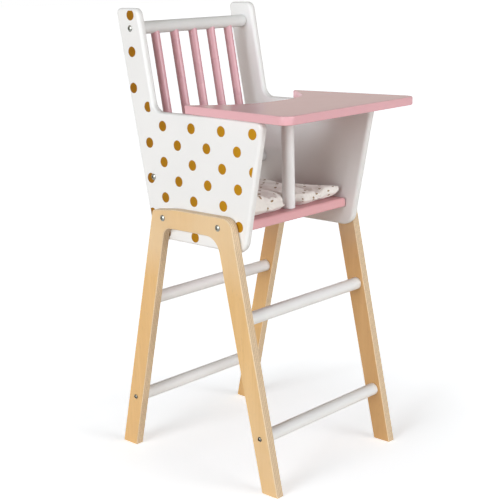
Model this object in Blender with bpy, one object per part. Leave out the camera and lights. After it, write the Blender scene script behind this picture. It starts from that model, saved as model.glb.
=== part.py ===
"""A doll's high chair in wood, at its real size.

Two painted side panels carry a pink seat board, a barred back and a pink tray.
An arched plywood leg frame is bolted to the outside of each panel, and four
white dowels tie the legs together.  A loose padded cushion lies on the seat.

Metres.  +X to the sitter's left, -Y to the front where the tray is, +Z up.
The origin is on the floor, in the middle of the chair's outer box.
"""
from math import ceil, cos, pi, radians, sin, sqrt, tan

import bmesh
import bpy
from mathutils import Matrix, Vector

for item in list(bpy.data.objects):
    bpy.data.objects.remove(item, do_unlink=True)

# The clearance left between pieces that touch on the real chair.
GAP = 0.0003

# Side panels, cut from painted board.  A slope is a change in y for each metre of height.
HEIGHT = 0.575
PANEL_OUTER = 0.105
PANEL_THICK = 0.010
PANEL_BOTTOM = 0.2905
ARM_TOP = 0.450
BACK_EDGE_Y = 0.0879
BACK_SLOPE = 0.1855
POST_FRONT_Y = 0.0775
POST_SLOPE = 0.1740
FRONT_EDGE_Y = -0.0709
FRONT_SLOPE = -0.2151
POST_REAR_RADIUS = 0.007
POST_FRONT_RADIUS = 0.010
ARM_CROOK_RADIUS = 0.015
ARM_NOSE_RADIUS = 0.009
PANEL_TOE_RADIUS = 0.019
PANEL_HEEL_RADIUS = 0.010
PANEL_EDGE = 0.0032

# Leg frames, cut in one piece from plywood as an arch with two splayed legs.
LEG_THICK = 0.0115
LEG_REAR_OUTER_Y = 0.15555
LEG_REAR_INNER_Y = 0.1290
LEG_REAR_OUTER_SLOPE = -0.2429
LEG_REAR_INNER_SLOPE = -0.2406
LEG_FRONT_INNER_Y = -0.0999
LEG_FRONT_OUTER_Y = -0.1255
LEG_FRONT_INNER_SLOPE = 0.2060
LEG_FRONT_OUTER_SLOPE = 0.1970
LEG_TOP = 0.334
LEG_TOP_REAR = 0.3295
LEG_TOP_BREAK_Y = 0.036
ARCH_TOP = 0.309
ARCH_FRONT_RADIUS = 0.022
ARCH_REAR_RADIUS = 0.013
LEG_FRONT_RADIUS = 0.016
LEG_REAR_RADIUS = 0.006
LEG_BREAK_RADIUS = 0.080
LEG_EDGE = 0.0009

# Round rods.
ROD_RADIUS = 0.008
SPINDLE_RADIUS = 0.0054
SPINDLE_COUNT = 5
SPINDLE_PITCH = 0.0325
SPINDLE_STOP = 0.0015
SOCKET_DEPTH = 0.0055
TOP_RAIL = (0.1140, 0.5501)
LOWER_RAIL = (0.0829, 0.3685)
STRETCHERS = {
    "stretcher_rear_upper": (0.0914, 0.210, True),
    "stretcher_rear_lower": (0.1252, 0.070, False),
    "stretcher_front_upper": (-0.0710, 0.211, True),
    "stretcher_front_lower": (-0.0990, 0.070, False),
}

# Seat board, crotch post and tray.
SEAT_TOP = 0.327
SEAT_THICK = 0.012
SEAT_FRONT_Y = -0.0640
SEAT_REAR_Y = 0.0830
SEAT_EDGE = 0.0030
SEAT_CORNER_RADIUS = 0.004
POST_Y = -0.0485
TRAY_TOP = 0.4606
TRAY_FRONT_Y = -0.15555
TRAY_REAR_Y = 0.02625
TRAY_FRONT_HALF = 0.1215
TRAY_REAR_HALF = 0.1018
TRAY_FRONT_RADIUS = 0.013
TRAY_TIP_RADIUS = 0.0022
TRAY_EDGE = 0.0014
BELLY_TIP_X = 0.0966
BELLY_MID_Y = -0.0385
BELLY_FLANK = 0.0040
BELLY_FLANK_PULL = 0.058
BELLY_MID_PULL = 0.045
BELLY_LEAN = radians(58)

# Fasteners.
SCREW_HEAD_RADIUS = 0.0041
SCREW_HEAD_HEIGHT = 0.0016
SCREW_SHANK_RADIUS = 0.0020
SCREW_BITE = 0.022
HEX_RADIUS = 0.0020
HEX_DEPTH = 0.0011
SEAT_BOLTS_Y = (0.0569, -0.0391)
PEG_RADIUS = 0.0020
PEG_UP = 0.0070
PEG_DOWN = 0.0090
ARM_PEGS_Y = (0.010, -0.070)

# Seat cushion: a stuffed cotton pad with a slot at the front that clears the post.
PAD_HALF = 0.0925
PAD_FRONT_Y = -0.0655
PAD_REAR_Y = 0.0750
PAD_WAIST = 0.0030
PAD_CORNER = 0.014
PAD_SEAM_RISE = 0.0060
PAD_EDGE_RISE = 0.0100
PAD_EDGE_RUN = 0.018
PAD_CROWN = 0.0038
PAD_SLOT_HALF = 0.0150
PAD_SLOT_LENGTH = 0.0320
PAD_SEAM_LINES = (-0.0450, 0.0450)
PAD_SEAM_DEPTH = 0.0030
PAD_SEAM_WIDTH = 0.0070
PAD_SLOT_COLUMNS = 5
PAD_WIDE_COLUMNS = 11
PAD_ROWS = 15

ARC_STEP = radians(11)
ROD_SIDES = 32
SPINDLE_SIDES = 24
SCREW_SIDES = 18
PEG_SIDES = 12


def material(name, colour, roughness, metallic=0.0):
    """A plain finish: a colour, how dull it is, and whether it is metal."""
    finish = bpy.data.materials.new(name)
    finish.use_nodes = True
    shader = finish.node_tree.nodes["Principled BSDF"]
    shader.inputs["Base Color"].default_value = (*colour, 1.0)
    shader.inputs["Roughness"].default_value = roughness
    shader.inputs["Metallic"].default_value = metallic
    return finish


def white_paint(name):
    return material(name + "_paint", (0.86, 0.86, 0.85), 0.38)


def pink_paint(name):
    return material(name + "_paint", (0.76, 0.41, 0.47), 0.36)


def plywood(name):
    return material(name + "_plywood", (0.79, 0.56, 0.31), 0.52)


def bare_wood(name):
    return material(name + "_wood", (0.73, 0.55, 0.34), 0.60)


def nickel(name):
    return material(name + "_nickel", (0.63, 0.61, 0.58), 0.30, 1.0)


def cotton(name):
    return material(name + "_cotton", (0.86, 0.83, 0.80), 0.90)


def add_object(name, mesh_builder, finish=None, origin=(0, 0, 0)):
    """Turn a bmesh into a named object whose origin is at the given place."""
    bmesh.ops.translate(mesh_builder, vec=-Vector(origin), verts=mesh_builder.verts)
    bmesh.ops.recalc_face_normals(mesh_builder, faces=mesh_builder.faces)
    mesh = bpy.data.meshes.new(name)
    mesh_builder.to_mesh(mesh)
    mesh_builder.free()
    thing = bpy.data.objects.new(name, mesh)
    thing.location = origin
    bpy.context.scene.collection.objects.link(thing)
    if finish:
        mesh.materials.append(finish(name))
    return thing


def smooth(thing, angle=35):
    """Shade the round stretches smooth and keep the true corners sharp."""
    thing.data.shade_smooth()
    thing.data.set_sharp_from_angle(angle=radians(angle))


def soften(thing, width, segments=2):
    """Round the corners of a sawn board over a small radius."""
    bevel = thing.modifiers.new("soft_edges", "BEVEL")
    bevel.width = width
    bevel.segments = segments
    bevel.limit_method = "ANGLE"
    bevel.angle_limit = radians(50)
    bevel.use_clamp_overlap = False


def rounded(corners):
    """An outline through (a, b, radius) corners, each turned with its own radius."""
    outline = []
    for index, (a, b, radius) in enumerate(corners):
        corner = Vector((a, b))
        back = (Vector(corners[index - 1][:2]) - corner).normalized()
        ahead = (Vector(corners[(index + 1) % len(corners)][:2]) - corner).normalized()
        if radius == 0:
            outline.append(corner)
            continue
        half = back.angle(ahead) / 2
        centre = corner + (back + ahead).normalized() * radius / sin(half)
        spoke = corner + back * radius / tan(half) - centre
        turn = pi - 2 * half
        if back.x * ahead.y - back.y * ahead.x > 0:
            turn = -turn
        steps = max(1, ceil(abs(turn) / ARC_STEP))
        for step in range(steps + 1):
            outline.append(centre + Matrix.Rotation(turn * step / steps, 2) @ spoke)
    return outline


def extrude_outline(points, reach):
    """A closed solid from a flat face, pushed along the reach vector."""
    solid = bmesh.new()
    face = solid.faces.new([solid.verts.new(point) for point in points])
    pushed = bmesh.ops.extrude_face_region(solid, geom=[face])
    moved = [part for part in pushed["geom"] if isinstance(part, bmesh.types.BMVert)]
    bmesh.ops.translate(solid, vec=reach, verts=moved)
    return solid


def upright_board(name, outline, inner_x, outer_x, finish):
    """A board standing on edge: a (y, z) outline between two x faces."""
    points = [(inner_x, y, z) for y, z in outline]
    return add_object(name, extrude_outline(points, (outer_x - inner_x, 0, 0)), finish)


def flat_board(name, outline, low_z, high_z, finish):
    """A board lying flat: an (x, y) outline between two heights."""
    points = [(x, y, low_z) for x, y in outline]
    return add_object(name, extrude_outline(points, (0, 0, high_z - low_z)), finish)


def add_rod(solid, start, end, radius, sides):
    """Add a round bar between two points to a bmesh."""
    start = Vector(start)
    along = Vector(end) - start
    place = Matrix.Translation(start + along / 2) @ along.to_track_quat("Z", "X").to_matrix().to_4x4()
    bmesh.ops.create_cone(
        solid, cap_ends=True, segments=sides, radius1=radius, radius2=radius,
        depth=along.length, matrix=place)


def rod(name, start, end, radius, sides, finish):
    solid = bmesh.new()
    add_rod(solid, start, end, radius, sides)
    thing = add_object(name, solid, finish)
    smooth(thing)
    return thing


def drill(thing, holes, sides=PEG_SIDES):
    """Cut round holes, each given by its two ends and its radius."""
    bits = bmesh.new()
    for start, end, radius in holes:
        add_rod(bits, start, end, radius, sides)
    cutter = add_object(thing.name + "_drill", bits)
    cutter.hide_render = True
    cutter.display_type = "WIRE"
    cut = thing.modifiers.new("holes", "BOOLEAN")
    cut.operation = "DIFFERENCE"
    cut.solver = "EXACT"
    cut.object = cutter


def screw(name, place, outward, length):
    """A socket head screw: where its head bears, its outward way and its shank's length."""
    solid = bmesh.new()
    profile = [
        (0.0, -length), (SCREW_SHANK_RADIUS * 0.5, -length),
        (SCREW_SHANK_RADIUS, -length + SCREW_SHANK_RADIUS), (SCREW_SHANK_RADIUS, 0.0),
        (SCREW_HEAD_RADIUS, 0.0), (SCREW_HEAD_RADIUS, SCREW_HEAD_HEIGHT * 0.5),
        (SCREW_HEAD_RADIUS * 0.8, SCREW_HEAD_HEIGHT), (0.0, SCREW_HEAD_HEIGHT)]
    turn = Vector(outward).to_track_quat("Z", "X").to_matrix().to_4x4()
    frame = Matrix.Translation(place) @ turn
    verts = [solid.verts.new(frame @ Vector((r, 0, h))) for r, h in profile]
    edges = [solid.edges.new(pair) for pair in zip(verts, verts[1:])]
    bmesh.ops.spin(
        solid, geom=verts + edges, cent=place, axis=outward, angle=2 * pi,
        steps=SCREW_SIDES, use_merge=True)
    bmesh.ops.remove_doubles(solid, verts=solid.verts, dist=0.00001)
    thing = add_object(name, solid, nickel)
    foot = frame @ Vector((0, 0, SCREW_HEAD_HEIGHT - HEX_DEPTH))
    mouth = frame @ Vector((0, 0, SCREW_HEAD_HEIGHT + HEX_DEPTH))
    drill(thing, [(foot, mouth, HEX_RADIUS)], 6)
    smooth(thing)


def back_edge(z):
    return BACK_EDGE_Y + BACK_SLOPE * (z - PANEL_BOTTOM)


def post_front(z):
    return POST_FRONT_Y + POST_SLOPE * (z - ARM_TOP)


def front_edge(z):
    return FRONT_EDGE_Y + FRONT_SLOPE * (z - PANEL_BOTTOM)


def build_side_panels():
    """Each panel is an arm at the front and a raked post at the back, in one board."""
    outline = rounded([
        (front_edge(PANEL_BOTTOM), PANEL_BOTTOM, PANEL_TOE_RADIUS),
        (front_edge(ARM_TOP), ARM_TOP, ARM_NOSE_RADIUS),
        (post_front(ARM_TOP), ARM_TOP, ARM_CROOK_RADIUS),
        (post_front(HEIGHT), HEIGHT, POST_FRONT_RADIUS),
        (back_edge(HEIGHT), HEIGHT, POST_REAR_RADIUS),
        (back_edge(PANEL_BOTTOM), PANEL_BOTTOM, PANEL_HEEL_RADIUS)])
    inner = PANEL_OUTER - PANEL_THICK
    for name, side in (("side_panel_left", 1), ("side_panel_right", -1)):
        panel = upright_board(name, outline, side * inner, side * PANEL_OUTER, white_paint)
        soften(panel, PANEL_EDGE, 3)
        through = (side * (inner - 0.003), side * (PANEL_OUTER + 0.003))
        places = [TOP_RAIL, LOWER_RAIL]
        places += [(y, SEAT_TOP - SEAT_THICK / 2) for y in SEAT_BOLTS_Y]
        holes = [((through[0], y, z), (through[1], y, z), SCREW_SHANK_RADIUS + GAP) for y, z in places]
        peg_x = side * (PANEL_OUTER - PANEL_THICK / 2)
        for y in ARM_PEGS_Y:
            foot = (peg_x, y, ARM_TOP - PEG_DOWN - GAP)
            holes.append((foot, (peg_x, y, ARM_TOP + 0.003), PEG_RADIUS + GAP))
        drill(panel, holes)


def build_leg_frames():
    """Each frame is one arch of plywood whose legs splay to the front and the back."""
    def rear_outer(z):
        return LEG_REAR_OUTER_Y + LEG_REAR_OUTER_SLOPE * z

    def rear_inner(z):
        return LEG_REAR_INNER_Y + LEG_REAR_INNER_SLOPE * z

    def front_inner(z):
        return LEG_FRONT_INNER_Y + LEG_FRONT_INNER_SLOPE * z

    def front_outer(z):
        return LEG_FRONT_OUTER_Y + LEG_FRONT_OUTER_SLOPE * z

    outline = rounded([
        (front_outer(0), 0, 0),
        (front_outer(LEG_TOP), LEG_TOP, LEG_FRONT_RADIUS),
        (LEG_TOP_BREAK_Y, LEG_TOP, LEG_BREAK_RADIUS),
        (rear_outer(LEG_TOP_REAR), LEG_TOP_REAR, LEG_REAR_RADIUS),
        (rear_outer(0), 0, 0),
        (rear_inner(0), 0, 0),
        (rear_inner(ARCH_TOP), ARCH_TOP, ARCH_REAR_RADIUS),
        (front_inner(ARCH_TOP), ARCH_TOP, ARCH_FRONT_RADIUS),
        (front_inner(0), 0, 0)])
    inner = PANEL_OUTER + GAP
    outer = inner + LEG_THICK
    for name, side in (("leg_frame_left", 1), ("leg_frame_right", -1)):
        frame = upright_board(name, outline, side * inner, side * outer, plywood)
        soften(frame, LEG_EDGE, 1)
        before = side * (inner - 0.003)
        beyond = side * (outer + 0.003)
        places = [(y, SEAT_TOP - SEAT_THICK / 2) for y in SEAT_BOLTS_Y]
        places += [(y, z) for y, z, socketed in STRETCHERS.values() if not socketed]
        holes = [((before, y, z), (beyond, y, z), SCREW_SHANK_RADIUS + GAP) for y, z in places]
        drill(frame, holes)
        seat = side * (inner + SOCKET_DEPTH)
        sockets = [
            ((before, y, z), (seat, y, z), ROD_RADIUS + GAP)
            for y, z, socketed in STRETCHERS.values() if socketed]
        drill(frame, sockets, ROD_SIDES)


def build_stretchers():
    """White dowels between the leg frames: the upper two are let in, the lower two are screwed."""
    face = PANEL_OUTER + GAP
    for name, (y, z, socketed) in STRETCHERS.items():
        half = face + SOCKET_DEPTH - GAP if socketed else face - GAP
        bar = rod(name, (-half, y, z), (half, y, z), ROD_RADIUS, ROD_SIDES, white_paint)
        if not socketed:
            drill(bar, pilot_holes(half, y, z))


def pilot_holes(half, y, z):
    """Holes in the two ends of a rail for the screws that hold it."""
    depth = SCREW_BITE + GAP
    return [
        ((side * (half + 0.003), y, z), (side * (half - depth), y, z), SCREW_SHANK_RADIUS + GAP)
        for side in (1, -1)]


def build_back():
    """Two white rails with five pink spindles let into them."""
    half = PANEL_OUTER - PANEL_THICK - GAP
    low = Vector((0, *LOWER_RAIL))
    high = Vector((0, *TOP_RAIL))
    up = (high - low).normalized()
    columns = [SPINDLE_PITCH * (n - (SPINDLE_COUNT - 1) / 2) for n in range(SPINDLE_COUNT)]
    for name, centre, way in (("lower_back_rail", low, up), ("top_rail", high, -up)):
        rail = rod(name, (-half, *centre.yz), (half, *centre.yz), ROD_RADIUS, ROD_SIDES, white_paint)
        drill(rail, pilot_holes(half, *centre.yz))
        sockets = []
        for x in columns:
            seat = centre + way * (SPINDLE_STOP - GAP)
            mouth = centre + way * (ROD_RADIUS + 0.004)
            sockets.append(((x, *seat.yz), (x, *mouth.yz), SPINDLE_RADIUS + GAP))
        drill(rail, sockets, SPINDLE_SIDES)
    for number, x in enumerate(columns, 1):
        foot = low + up * SPINDLE_STOP
        head = high - up * SPINDLE_STOP
        name = f"back_spindle_{number}"
        rod(name, (x, *foot.yz), (x, *head.yz), SPINDLE_RADIUS, SPINDLE_SIDES, pink_paint)


def build_seat():
    """The seat board between the panels, and the post that stands on it."""
    half = PANEL_OUTER - PANEL_THICK - GAP
    outline = rounded([
        (half, SEAT_FRONT_Y, SEAT_CORNER_RADIUS), (half, SEAT_REAR_Y, 0),
        (-half, SEAT_REAR_Y, 0), (-half, SEAT_FRONT_Y, SEAT_CORNER_RADIUS)])
    seat = flat_board("seat_board", outline, SEAT_TOP - SEAT_THICK, SEAT_TOP, pink_paint)
    soften(seat, SEAT_EDGE, 3)
    holes = []
    for y in SEAT_BOLTS_Y:
        holes += pilot_holes(half, y, SEAT_TOP - SEAT_THICK / 2)
    below = (0, POST_Y, SEAT_TOP - SEAT_THICK - 0.003)
    holes.append((below, (0, POST_Y, SEAT_TOP + 0.003), SCREW_SHANK_RADIUS + GAP))
    drill(seat, holes)

    foot = SEAT_TOP + GAP
    post = rod("crotch_post", (0, POST_Y, foot), (0, POST_Y, ARM_TOP), ROD_RADIUS, ROD_SIDES, white_paint)
    drill(post, [
        ((0, POST_Y, foot - 0.003), (0, POST_Y, foot + SCREW_BITE + GAP), SCREW_SHANK_RADIUS + GAP),
        ((0, POST_Y, ARM_TOP + 0.003), (0, POST_Y, ARM_TOP - PEG_DOWN - GAP), PEG_RADIUS + GAP)])


def belly_curve(steps=14):
    """Half of the cut-out that the sitter's belly fits, from the left tip to the middle."""
    lean = Vector((-cos(BELLY_LEAN), -sin(BELLY_LEAN)))
    start = Vector((BELLY_TIP_X, TRAY_REAR_Y)) + lean * BELLY_FLANK
    middle = Vector((0, BELLY_MID_Y))
    points = [start, start + lean * BELLY_FLANK_PULL, middle + Vector((BELLY_MID_PULL, 0)), middle]
    curve = []
    for step in range(steps + 1):
        t = step / steps
        shares = ((1 - t) ** 3, 3 * t * (1 - t) ** 2, 3 * t * t * (1 - t), t ** 3)
        curve.append(sum((point * share for point, share in zip(points, shares)), Vector((0, 0))))
    return curve


def build_tray():
    """A pink tray board, wider at the front, pegged down on the arms and the post."""
    left_half = belly_curve()
    right_half = [Vector((-point.x, point.y)) for point in reversed(left_half)]
    sides = rounded([
        (*right_half[-1], 0),
        (-BELLY_TIP_X, TRAY_REAR_Y, TRAY_TIP_RADIUS),
        (-TRAY_REAR_HALF, TRAY_REAR_Y, TRAY_TIP_RADIUS),
        (-TRAY_FRONT_HALF, TRAY_FRONT_Y, TRAY_FRONT_RADIUS),
        (TRAY_FRONT_HALF, TRAY_FRONT_Y, TRAY_FRONT_RADIUS),
        (TRAY_REAR_HALF, TRAY_REAR_Y, TRAY_TIP_RADIUS),
        (BELLY_TIP_X, TRAY_REAR_Y, TRAY_TIP_RADIUS),
        (*left_half[0], 0)])
    low = ARM_TOP + GAP
    outline = sides + left_half[1:] + right_half[1:-1]
    tray = flat_board("tray", outline, low, TRAY_TOP, pink_paint)
    soften(tray, TRAY_EDGE)
    peg_x = PANEL_OUTER - PANEL_THICK / 2
    places = [(side * peg_x, y) for side in (1, -1) for y in ARM_PEGS_Y] + [(0, POST_Y)]
    holes = [((x, y, low - 0.003), (x, y, low + PEG_UP + GAP), PEG_RADIUS + GAP) for x, y in places]
    drill(tray, holes)
    for number, (x, y) in enumerate(places, 1):
        foot = (x, y, ARM_TOP - PEG_DOWN)
        rod(f"tray_peg_{number}", foot, (x, y, low + PEG_UP), PEG_RADIUS, PEG_SIDES, bare_wood)


def build_screws():
    """Screws through the panels and frames, with their heads on the outside."""
    panel_face = PANEL_OUTER + GAP
    frame_face = PANEL_OUTER + GAP + LEG_THICK + GAP
    for side, hand in ((1, "left"), (-1, "right")):
        outward = (side, 0, 0)
        for place, (y, z) in (("top", TOP_RAIL), ("lower", LOWER_RAIL)):
            name = f"rail_screw_{place}_{hand}"
            screw(name, (side * panel_face, y, z), outward, PANEL_THICK + SCREW_BITE)
        for place, y in zip(("rear", "front"), SEAT_BOLTS_Y):
            seat = (side * frame_face, y, SEAT_TOP - SEAT_THICK / 2)
            length = LEG_THICK + PANEL_THICK + SCREW_BITE
            screw(f"seat_bolt_{place}_{hand}", seat, outward, length)
        for place in ("rear", "front"):
            y, z, _ = STRETCHERS[f"stretcher_{place}_lower"]
            seat = (side * frame_face, y, z)
            screw(f"stretcher_bolt_{place}_{hand}", seat, outward, LEG_THICK + SCREW_BITE)
    under = SEAT_TOP - SEAT_THICK - GAP
    screw("post_screw", (0, POST_Y, under), (0, 0, -1), SEAT_THICK + SCREW_BITE)


def pad_front(x):
    """The cushion's front edge, which runs back in a round-ended slot about the post."""
    if abs(x) >= PAD_SLOT_HALF:
        return PAD_FRONT_Y
    return PAD_FRONT_Y + PAD_SLOT_LENGTH * sqrt(1 - (x / PAD_SLOT_HALF) ** 2)


def pad_side(y):
    """The cushion's half width: round at the corners and drawn in between them."""
    share = (y - PAD_FRONT_Y) / (PAD_REAR_Y - PAD_FRONT_Y)
    half = PAD_HALF - PAD_WAIST * sin(pi * share)
    short = PAD_CORNER - min(y - PAD_FRONT_Y, PAD_REAR_Y - y)
    if short > 0:
        half -= PAD_CORNER - sqrt(max(0, PAD_CORNER ** 2 - short ** 2))
    return half


def pad_inset(x, y):
    """How far a place on the cushion lies in from its nearest edge."""
    behind = y - PAD_FRONT_Y
    spread = sqrt((x / PAD_SLOT_HALF) ** 2 + (behind / PAD_SLOT_LENGTH) ** 2)
    from_slot = sqrt(x * x + behind * behind) * (1 - 1 / max(spread, 1))
    return max(0, min(pad_side(y) - abs(x), behind, PAD_REAR_Y - y, from_slot))


def pad_columns():
    """Places across the cushion as shares of its half width, closer together at the edges."""
    slot = PAD_SLOT_HALF / PAD_HALF
    right = [slot * sin(pi / 2 * n / PAD_SLOT_COLUMNS) for n in range(PAD_SLOT_COLUMNS + 1)]
    for n in range(1, PAD_WIDE_COLUMNS + 1):
        right.append(slot + (1 - slot) * (1 - cos(pi * n / PAD_WIDE_COLUMNS)) / 2)
    return [-share for share in reversed(right[1:])] + right


def build_cushion():
    """A pad crowned on top and flat below, with a round edge and two sewn lines front to back."""
    shares = pad_columns()
    base = SEAT_TOP + GAP
    solid = bmesh.new()
    tops = []
    bottoms = []
    for row in range(PAD_ROWS):
        back = (1 - cos(pi * row / (PAD_ROWS - 1))) / 2
        tops.append([])
        bottoms.append([])
        for share in shares:
            front = pad_front(share * PAD_HALF)
            y = front + (PAD_REAR_Y - front) * back
            x = share * pad_side(y)
            rim = row in (0, PAD_ROWS - 1) or abs(share) > 0.9999
            inset = 0 if rim else pad_inset(x, y)
            rise = sqrt(1 - (1 - min(inset / PAD_EDGE_RUN, 1)) ** 2)
            crown = 0 if rim else cos(pi / 2 * share) * sin(pi * back)
            top = base + PAD_SEAM_RISE + PAD_EDGE_RISE * rise + PAD_CROWN * crown
            for line in PAD_SEAM_LINES:
                top -= PAD_SEAM_DEPTH * max(0, 1 - abs(x - line) / PAD_SEAM_WIDTH) * rise
            bottom = base + PAD_SEAM_RISE * max(0, 1 - inset / (PAD_EDGE_RUN / 2))
            tops[-1].append(solid.verts.new((x, y, top)))
            bottoms[-1].append(solid.verts.new((x, y, bottom)))
    for sheet in (tops, bottoms):
        for near, far in zip(sheet, sheet[1:]):
            for n in range(len(shares) - 1):
                solid.faces.new((near[n], near[n + 1], far[n + 1], far[n]))
    bmesh.ops.remove_doubles(solid, verts=solid.verts, dist=0.00002)
    smooth(add_object("seat_cushion", solid, cotton, origin=(0, 0, base)), 60)


build_side_panels()
build_leg_frames()
build_stretchers()
build_back()
build_seat()
build_tray()
build_screws()
build_cushion()
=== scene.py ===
"""The finish of a doll's high chair: painted board, plywood legs, dowels, screws and a cotton pad.

Everything is in metres in the chair's own frame: +X to the sitter's left, -Y to the
front where the tray is, +Z up, with the floor at z = 0.
"""

from math import hypot, pi, radians

import bpy
import numpy as np
from mathutils import Euler, Matrix, Vector


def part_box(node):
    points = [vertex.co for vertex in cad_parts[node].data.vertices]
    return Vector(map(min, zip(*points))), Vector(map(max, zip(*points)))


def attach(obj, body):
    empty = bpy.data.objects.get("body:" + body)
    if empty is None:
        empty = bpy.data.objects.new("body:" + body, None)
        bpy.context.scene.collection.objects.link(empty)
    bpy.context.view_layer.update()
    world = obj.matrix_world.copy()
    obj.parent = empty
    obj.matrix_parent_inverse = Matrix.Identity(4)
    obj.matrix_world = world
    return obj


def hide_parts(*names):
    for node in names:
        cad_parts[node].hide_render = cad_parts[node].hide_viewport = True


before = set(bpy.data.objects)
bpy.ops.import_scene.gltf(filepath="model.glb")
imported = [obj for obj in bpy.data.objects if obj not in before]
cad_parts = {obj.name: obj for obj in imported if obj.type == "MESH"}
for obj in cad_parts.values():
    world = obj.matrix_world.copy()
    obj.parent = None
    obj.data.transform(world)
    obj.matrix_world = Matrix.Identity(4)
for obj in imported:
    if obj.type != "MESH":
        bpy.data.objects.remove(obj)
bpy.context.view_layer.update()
scene = bpy.context.scene
scene.view_settings.view_transform = "Standard"

# The camera stands at the front, on the sitter's right, a little above the tray.
# Its lens is long, so the uprights stay almost parallel, and it leans a touch.
CAMERA_AT = (-1.0505, -0.98285, 0.6174)
CAMERA_AZIMUTH = radians(-46.318)
CAMERA_ELEVATION = radians(13.712)
CAMERA_ROLL = radians(-1.5425)
CAMERA_LENS = 82.893
CAMERA_NEAREST = 0.05
CAMERA_FARTHEST = 60.0

aim = Euler((pi / 2 - CAMERA_ELEVATION, 0, CAMERA_AZIMUTH)).to_matrix()
aim = aim @ Matrix.Rotation(CAMERA_ROLL, 3, "Z")
bpy.ops.object.camera_add(location=CAMERA_AT, rotation=aim.to_euler())
camera = bpy.context.object
camera.name = "camera"
camera.data.lens = CAMERA_LENS
camera.data.clip_start = CAMERA_NEAREST
camera.data.clip_end = CAMERA_FARTHEST
scene.camera = camera


# The studio: a white floor that keeps the chair's shadow, a sky that is brightest near the
# horizon, and two low, very soft lamps: one from the sitter's right and one from the front.
# The sky's light is warm; the camera and glass see it white, and gloss sees it a little tinted.
SKY_LIGHT = (1.0, 0.785, 0.64, 1)
SKY_SEEN = (1.0, 1.0, 1.0, 1)
SKY_MIRRORED = (0.92, 0.85, 0.77, 1)
SKY_HORIZON = 0.36
SKY_ZENITH = 0.08
SKY_ZENITH_FROM = 0.8
# Each lamp's power, the way it stands in degrees from the front towards the sitter's left, and its
# height in degrees above the floor.
SIDE_LAMP = (2.52, -88, 12)
FRONT_LAMP = (2.12, 8, 10)
LAMP_COLOUR = (0.955, 1.01, 1.05)
LAMP_SPREAD = radians(34)
# The floor throws its bounce colour on the chair. Where it is looked at, it has its own colour and
# a glow on top that lifts it to white, less so in a painted shadow: a soft round dip of the glow under the
# chair.
FLOOR_RADIUS = 22.0
FLOOR_SIDES = 96
FLOOR_BOUNCE = (0.93, 0.80, 0.66, 1)
FLOOR_COLOUR = (0.92, 0.945, 0.975, 1)
FLOOR_ROUGHNESS = 0.9
FLOOR_SHINE = 0.1
FLOOR_GLOW = (0.955, 0.985, 1.0, 1)
FLOOR_LIFT = 0.74
FLOOR_PAINTED_SHADOW = 0.225
FLOOR_PAINTED_SHADOW_MIDDLE = (0.05, 0.02, 0)
FLOOR_PAINTED_SHADOW_REACH = (0.08, 0.43)


def add_node(tree, kind, **settings):
    """Add a shader node and set its properties."""
    made = tree.nodes.new("ShaderNode" + kind)
    for name, value in settings.items():
        setattr(made, name, value)
    return made


def feed(tree, source, socket):
    """Give a socket another node's output, or a plain value of its own."""
    if isinstance(source, bpy.types.NodeSocket):
        tree.links.new(source, socket)
    else:
        socket.default_value = source


def maths(tree, operation, *terms, clamp=False):
    """A maths node whose terms are numbers or other nodes' outputs."""
    made = add_node(tree, "Math", operation=operation, use_clamp=clamp)
    for term, socket in zip(terms, made.inputs):
        feed(tree, term, socket)
    return made.outputs[0]


def mixed(tree, share, first, second, blend="MIX"):
    """A colour between two, each a colour or another node's output. A Mix node's colours are 6 and 7."""
    made = add_node(tree, "Mix", data_type="RGBA", blend_type=blend)
    for term, index in ((share, 0), (first, 6), (second, 7)):
        feed(tree, term, made.inputs[index])
    return made.outputs[2]


def spread(tree, value, low, high, to_low=0.0, to_high=1.0, ease="LINEAR"):
    """Map a value from one range to another, held inside it."""
    made = add_node(tree, "MapRange", interpolation_type=ease)
    for term, socket in zip((value, low, high, to_low, to_high), made.inputs):
        feed(tree, term, socket)
    return made.outputs[0]


def background_rays(tree):
    """1 for the rays that show the background: the camera's and those off gloss or through glass."""
    path = add_node(tree, "LightPath")
    seen = maths(tree, "MAXIMUM", path.outputs["Is Camera Ray"], path.outputs["Is Glossy Ray"])
    return maths(tree, "MAXIMUM", seen, path.outputs["Is Transmission Ray"])


studio = bpy.data.worlds.new("studio")
scene.world = studio
studio.use_nodes = True
sky = studio.node_tree
sky_way = add_node(sky, "SeparateXYZ")
feed(sky, add_node(sky, "TexCoord").outputs["Generated"], sky_way.inputs[0])
sky_light = sky.nodes["Background"]
sky_fall = spread(sky, sky_way.outputs["Z"], 0.0, SKY_ZENITH_FROM, SKY_HORIZON, SKY_ZENITH)
feed(sky, SKY_LIGHT, sky_light.inputs["Color"])
feed(sky, sky_fall, sky_light.inputs["Strength"])
sky_seen = add_node(sky, "Background")
mirrored = add_node(sky, "LightPath").outputs["Is Glossy Ray"]
feed(sky, mixed(sky, mirrored, SKY_SEEN, SKY_MIRRORED), sky_seen.inputs["Color"])
sky_either = add_node(sky, "MixShader")
feed(sky, background_rays(sky), sky_either.inputs[0])
feed(sky, sky_light.outputs[0], sky_either.inputs[1])
feed(sky, sky_seen.outputs[0], sky_either.inputs[2])
feed(sky, sky_either.outputs[0], sky.nodes["World Output"].inputs["Surface"])

for lamp_name, (power, azimuth, height) in (("side_lamp", SIDE_LAMP), ("front_lamp", FRONT_LAMP)):
    bpy.ops.object.light_add(type="SUN", rotation=(radians(90 - height), 0, radians(azimuth)))
    lamp = bpy.context.object
    lamp.name = lamp_name
    lamp.data.energy = power
    lamp.data.color = LAMP_COLOUR
    lamp.data.angle = LAMP_SPREAD

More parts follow.
